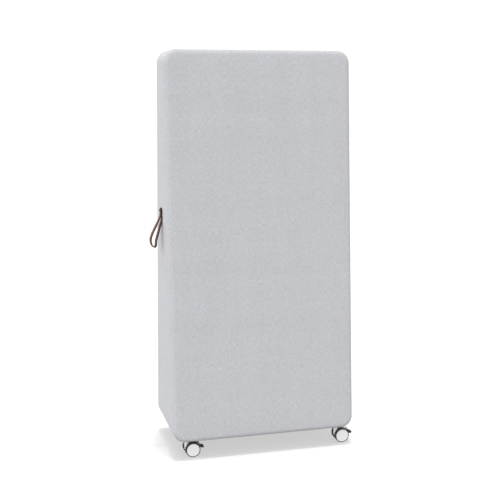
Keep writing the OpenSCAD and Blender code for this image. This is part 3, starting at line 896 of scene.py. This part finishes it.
def glow(shader, strength):
    shader.principled.inputs["Emission Color"].default_value = (1, 1, 1, 1)
    shader.principled.inputs["Emission Strength"].default_value = strength


def studio_floor():
    """A pale round floor, which glows so that it shows white outside the shadow."""
    s = Shader("studio_floor", Roughness=0.9, Specular_IOR_Level=0.0)
    glow(s, floor_glow)
    mottle = s.noise(s.object_coords(), 3.0)
    s.set(Base_Color=s.mix(mottle, grey(0.157), grey(0.163)))
    m = Mesh()
    steps = 96
    ring = []
    for k in range(steps):
        turn = 2 * math.pi * k / steps
        ring.append(m.add((stage_radius * math.cos(turn), stage_radius * math.sin(turn), 0)))
    m.face(ring)
    floor = m.piece("studio_floor", [s.material])
    floor.visible_diffuse = False
    return floor


def backdrop():
    """A white sphere behind everything, which neither lights the object nor shades it."""
    s = Shader("studio_backdrop", Roughness=1.0, Specular_IOR_Level=0.0)
    s.principled.inputs["Base Color"].default_value = (0, 0, 0, 1)
    glow(s, backdrop_glow)
    m = Mesh()
    around, up = 64, 24
    last_row = math.radians(89)     # the top and bottom rows, just short of the poles
    rows = []
    for j in range(up + 1):
        height = last_row * (2 * j / up - 1)
        z, reach = stage_radius * math.sin(height), stage_radius * math.cos(height)
        turns = [2 * math.pi * k / around for k in range(around)]
        rows.append([m.add((reach * math.cos(t), reach * math.sin(t), z)) for t in turns])
    for first, second in zip(rows, rows[1:]):
        m.strip(first, second)
    m.face(rows[-1])
    sphere = m.piece("studio_backdrop", [s.material])
    sphere.visible_diffuse = False
    sphere.visible_glossy = False
    sphere.visible_transmission = False
    sphere.visible_shadow = False


# How the light from all round changes from 1 at the horizon in front and behind: along
# each axis, on its positive (MAXIMUM) or negative (MINIMUM) side
world_slopes = (
    ("Z", "MAXIMUM", 0.12),     # brighter from above
    ("Z", "MINIMUM", 0.95),     # much darker from below
    ("X", "MINIMUM", 0.12),     # a little darker from the left
    ("X", "MAXIMUM", -0.50),    # darker from the right
)
world_strength = 1.588


def studio_world():
    """Light from all round, with those slopes."""
    world = bpy.data.worlds.new("studio")
    bpy.context.scene.world = world
    world.use_nodes = True
    tree = world.node_tree

    def math_node(operation, *values):
        node = tree.nodes.new("ShaderNodeMath")
        node.operation = operation
        for socket, value in zip(node.inputs, values):
            if isinstance(value, bpy.types.NodeSocket):
                tree.links.new(value, socket)
            else:
                socket.default_value = value
        return node.outputs[0]

    axes = tree.nodes.new("ShaderNodeSeparateXYZ")
    coords = tree.nodes.new("ShaderNodeTexCoord").outputs["Generated"]
    tree.links.new(coords, axes.inputs[0])
    level = 1.0
    for axis, side, slope in world_slopes:
        part = math_node(side, axes.outputs[axis], 0.0)
        level = math_node("MULTIPLY_ADD", part, slope, level)
    background = tree.nodes["Background"]
    tree.links.new(math_node("MAXIMUM", level, 0.0), background.inputs["Color"])
    background.inputs["Strength"].default_value = world_strength


overhead_tilt = 0.6     # degrees, which moves the shadow a little to the left


def overhead_lights(floor):
    """Two overhead lights reach the floor alone and draw the body's shadow on it: one
    small and one wide, for a firm middle with a soft border."""
    lit = bpy.data.collections.new("lit_by_overhead")
    lit.objects.link(floor)
    for name, energy, angle in (("overhead_small", 4.0, 3.5), ("overhead_wide", 3.0, 34)):
        data = bpy.data.lights.new(name, "SUN")
        data.energy = energy
        data.angle = math.radians(angle)
        overhead = bpy.data.objects.new(name, data)
        overhead.rotation_euler = (0, math.radians(overhead_tilt), 0)
        bpy.context.scene.collection.objects.link(overhead)
        overhead.light_linking.receiver_collection = lit


soft_box_at = (-1.6, -0.3, 3.0)
soft_box_aim = (-half_w, 0, 1.6)


def soft_box():
    """A large soft light above the left side."""
    data = bpy.data.lights.new("soft_box", "AREA")
    data.shape = "DISK"
    data.size = 2.0
    data.energy = 2.0
    x, y, z = np.subtract(soft_box_aim, soft_box_at)
    made = bpy.data.objects.new("soft_box", data)
    made.location = soft_box_at
    made.rotation_euler = (math.atan2(math.hypot(x, y), -z), 0, math.atan2(y, x) - math.pi / 2)
    bpy.context.scene.collection.objects.link(made)


# The camera stands where the photograph was taken from: 9.6 degrees downward, 15 degrees
# to the right, with a 68 mm lens on a 36 mm sensor
camera_at = (-1.127, -4.151, 1.628)
camera_down, camera_right = 9.612, 14.99
focal_px, frame_px = 945.5, 500


def camera():
    """Makes the camera and sets it as the scene's."""
    data = bpy.data.cameras.new("camera")
    data.sensor_width = 36.0
    data.lens = data.sensor_width * focal_px / frame_px
    made = bpy.data.objects.new("camera", data)
    made.location = camera_at
    made.rotation_euler = (math.radians(90 - camera_down), 0, math.radians(-camera_right))
    bpy.context.scene.collection.objects.link(made)
    bpy.context.scene.camera = made


floor = studio_floor()
backdrop()
studio_world()
overhead_lights(floor)
soft_box()
camera()
bpy.context.scene.view_settings.view_transform = "Standard"
